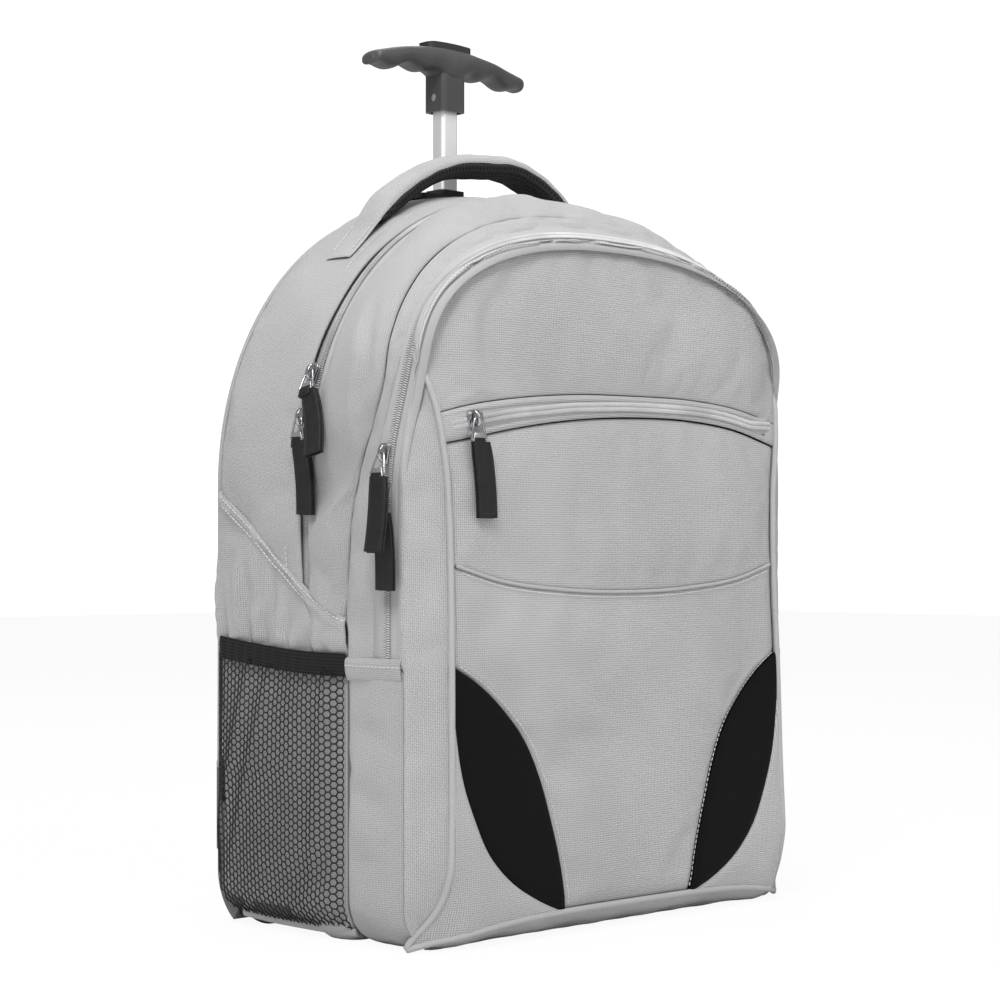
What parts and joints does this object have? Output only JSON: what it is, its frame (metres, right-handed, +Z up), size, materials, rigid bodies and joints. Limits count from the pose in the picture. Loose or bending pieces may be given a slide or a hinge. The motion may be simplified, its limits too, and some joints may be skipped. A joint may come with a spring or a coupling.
{
  "type": "rolling laptop backpack",
  "caption": "Soft two-compartment laptop backpack on two rear wheels, with an arched zipped front, mesh side pockets, a padded top handle and a telescopic T-grip trolley.",
  "frame": {"origin": "on the ground, on the flat fabric base, halfway across the bag and level with its main zip", "axes": "+Z up along the trolley, +Y towards the wearer's side with the straps and wheels, +X to the right seen from the front"},
  "size_m": [0.3637, 0.2124, 0.5555],
  "materials": {
    "canvas_grey": "light grey coated canvas weave",
    "piping_grey": "light grey bound cord",
    "lining_grey": "smooth grey lining",
    "zip_tape_grey": "light grey zip tape and nylon coil",
    "canvas_black": "black canvas weave",
    "air_mesh_black": "black spacer mesh over foam",
    "pocket_mesh_black": "open hexagonal net",
    "elastic_black": "ribbed elastic",
    "webbing_black": "ribbed webbing",
    "buckle_black": "satin moulded plastic",
    "tab_black": "grained, stitched",
    "zip_metal": "nickel plated",
    "grip_charcoal": "satin charcoal moulding",
    "button_black": "satin",
    "trolley_black": "satin",
    "tube_aluminium": "satin anodised",
    "steel": "zinc plated",
    "housing_grey": "fine grained moulding",
    "hub_black": "satin",
    "tyre_black": "matt",
    "board_black": "stiffener sheet"
  },
  "bodies": {
    "bag": {"back_panel": "air_mesh_black", "rear_gusset": "canvas_grey", "main_zip": "zip_tape_grey", "front_gusset": "canvas_grey", "compartment_divider": "lining_grey", "front_compartment_gusset": "canvas_grey", "front_zip": "zip_tape_grey", "front_border": "canvas_grey", "front_piping": "piping_grey", "upper_front_panel": "canvas_grey", "pocket_zip": "zip_tape_grey", "pocket_panel": "canvas_grey", "lower_front_panel": "canvas_grey", "accent_panels": "canvas_black", "mesh_pockets": "pocket_mesh_black", "pocket_elastics": "elastic_black", "back_pads": "air_mesh_black", "shoulder_straps": "air_mesh_black", "ladder_locks": "buckle_black", "strap_webbings": "webbing_black", "base_board": "board_black", "laptop_sleeve": "lining_grey", "trolley_lining": "lining_grey", "outer_tube": "tube_aluminium", "top_bezel": "trolley_black", "tube_foot": "trolley_black", "wheel_base": "housing_grey", "housing_screws": "steel", "axles": "steel"},
    "middle_stage": {"middle_tube": "tube_aluminium", "middle_bush": "trolley_black", "middle_glide": "trolley_black"},
    "inner_stage": {"inner_tube": "tube_aluminium", "grip": "grip_charcoal", "grip_rivets": "steel", "lock_block": "trolley_black", "button_spring": "steel"},
    "button": {"release_button": "button_black", "push_rod": "steel"},
    "lock": {"lock_pin": "steel"},
    "wheel_left": {"tyre_left": "tyre_black", "hub_left": "hub_black"},
    "wheel_right": {"tyre_right": "tyre_black", "hub_right": "hub_black"},
    "handle": {"carry_handle": "canvas_grey"},
    "main_upper_slider": {"main_slider_upper": "zip_metal"},
    "main_upper_pull": {"main_upper_link": "zip_metal", "main_upper_tab": "tab_black"},
    "main_lower_slider": {"main_slider_lower": "zip_metal"},
    "main_lower_pull": {"main_lower_link": "zip_metal", "main_lower_tab": "tab_black"},
    "front_upper_slider": {"front_slider_upper": "zip_metal"},
    "front_upper_pull": {"front_upper_link": "zip_metal", "front_upper_tab": "tab_black"},
    "front_lower_slider": {"front_slider_lower": "zip_metal"},
    "front_lower_pull": {"front_lower_link": "zip_metal", "front_lower_tab": "tab_black"},
    "pocket_slider": {"pocket_slider": "zip_metal"},
    "pocket_pull": {"pocket_link": "zip_metal", "pocket_tab": "tab_black"}
  },
  "joints": [
    {"name": "middle_slide", "type": "slide", "parent": "bag", "child": "middle_stage", "axis": [0, 0, 1], "range_m": [0, 0.25]},
    {"name": "inner_slide", "type": "slide", "parent": "middle_stage", "child": "inner_stage", "axis": [0, 0, 1], "range_m": [-0.05, 0.234]},
    {"name": "button_press", "type": "slide", "parent": "inner_stage", "child": "button", "axis": [0, 0, -1], "range_m": [0, 0.004], "deforming": ["button_spring"]},
    {"name": "lock_pin_slide", "type": "slide", "parent": "inner_stage", "child": "lock", "axis": [0, -1, 0], "range_m": [0, 0.002]},
    {"name": "wheel_left_spin", "type": "hinge", "parent": "bag", "child": "wheel_left", "pos_m": [-0.15, 0.05, 0.031], "axis": [1, 0, 0], "continuous": true},
    {"name": "wheel_right_spin", "type": "hinge", "parent": "bag", "child": "wheel_right", "pos_m": [0.15, 0.05, 0.031], "axis": [1, 0, 0], "continuous": true},
    {"name": "handle_swing", "type": "hinge", "parent": "bag", "child": "handle", "pos_m": [0, 0.033, 0.424], "axis": [1, 0, 0], "range_deg": [-5, 45]},
    {"name": "main_upper_travel", "type": "hinge", "parent": "bag", "child": "main_upper_slider", "pos_m": [0, -0.002, 0.278], "axis": [0, 1, 0], "range_deg": [0, 145]},
    {"name": "main_lower_travel", "type": "slide", "parent": "bag", "child": "main_lower_slider", "axis": [0, 0, -1], "range_m": [0, 0.085]},
    {"name": "front_upper_travel", "type": "slide", "parent": "bag", "child": "front_upper_slider", "axis": [0, 0, 1], "range_m": [0, 0.02]},
    {"name": "front_lower_travel", "type": "slide", "parent": "bag", "child": "front_lower_slider", "axis": [0, 0, -1], "range_m": [0, 0.088]},
    {"name": "pocket_travel", "type": "hinge", "parent": "bag", "child": "pocket_slider", "pos_m": [0, -0.1161, -0.34981], "axis": [0, 0.9995, -0.0332], "range_deg": [0, 21.2]},
    {"name": "main_upper_pull_swing", "type": "hinge", "parent": "main_upper_slider", "child": "main_upper_pull", "pos_m": [-0.1655, -0.0026, 0.32959], "axis": [-0.0984, 0.9703, -0.221], "range_deg": [0, 140]},
    {"name": "main_lower_pull_swing", "type": "hinge", "parent": "main_lower_slider", "child": "main_lower_pull", "pos_m": [-0.17335, -0.002, 0.302], "axis": [0, 1, 0], "range_deg": [0, 24]},
    {"name": "front_upper_pull_swing", "type": "hinge", "parent": "front_upper_slider", "child": "front_upper_pull", "pos_m": [-0.17039, -0.0718, 0.279], "axis": [0, 1, 0], "range_deg": [0, 140]},
    {"name": "front_lower_pull_swing", "type": "hinge", "parent": "front_lower_slider", "child": "front_lower_pull", "pos_m": [-0.17039, -0.0718, 0.259], "axis": [0, 1, 0], "range_deg": [0, 11.5]},
    {"name": "pocket_pull_swing", "type": "hinge", "parent": "pocket_slider", "child": "pocket_pull", "pos_m": [-0.122, -0.09991, 0.29966], "axis": [-1, 0, 0], "range_deg": [0, 150]}
  ],
  "couplings": [
    {"joint": "lock_pin_slide", "follows": "button_press", "ratio": 0.5}
  ]
}
